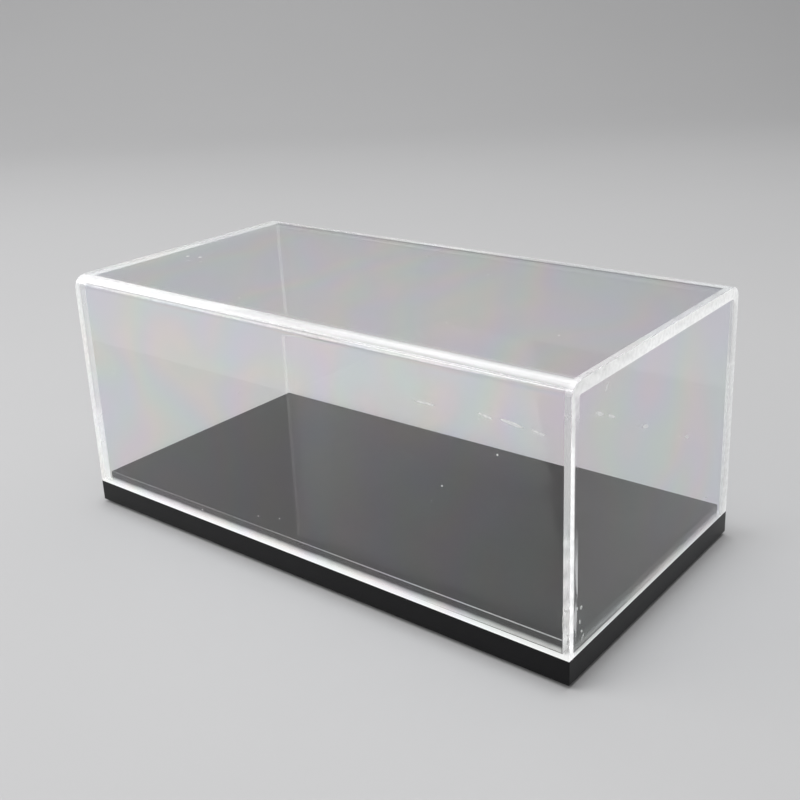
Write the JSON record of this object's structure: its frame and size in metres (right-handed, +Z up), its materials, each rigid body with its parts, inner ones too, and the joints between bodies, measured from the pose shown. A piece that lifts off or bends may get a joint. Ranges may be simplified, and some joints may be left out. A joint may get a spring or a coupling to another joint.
{
  "type": "display case",
  "caption": "Clear acrylic display case for a small scale model: a bent sheet with cemented end panels lifts off a black base with a raised locating plate and low feet.",
  "frame": {"origin": "centre of the footprint, on the surface that the feet stand on", "axes": "+X along the case's length, +Y from its front to its back, +Z up"},
  "size_m": [0.15, 0.078, 0.066],
  "materials": {
    "clear_acrylic": "polished",
    "black_acrylic": "polished",
    "clear_vinyl": "satin"
  },
  "bodies": {
    "base": {"base_plate": "black_acrylic", "locating_plate": "black_acrylic", "foot_front_left": "clear_vinyl", "foot_front_right": "clear_vinyl", "foot_back_left": "clear_vinyl", "foot_back_right": "clear_vinyl"},
    "cover": {"cover_sheet": "clear_acrylic", "end_panel_left": "clear_acrylic", "end_panel_right": "clear_acrylic"}
  },
  "joints": [
    {"name": "cover_lift", "type": "slide", "parent": "base", "child": "cover", "axis": [0, 0, 1], "range_m": [0, 0.08]}
  ]
}
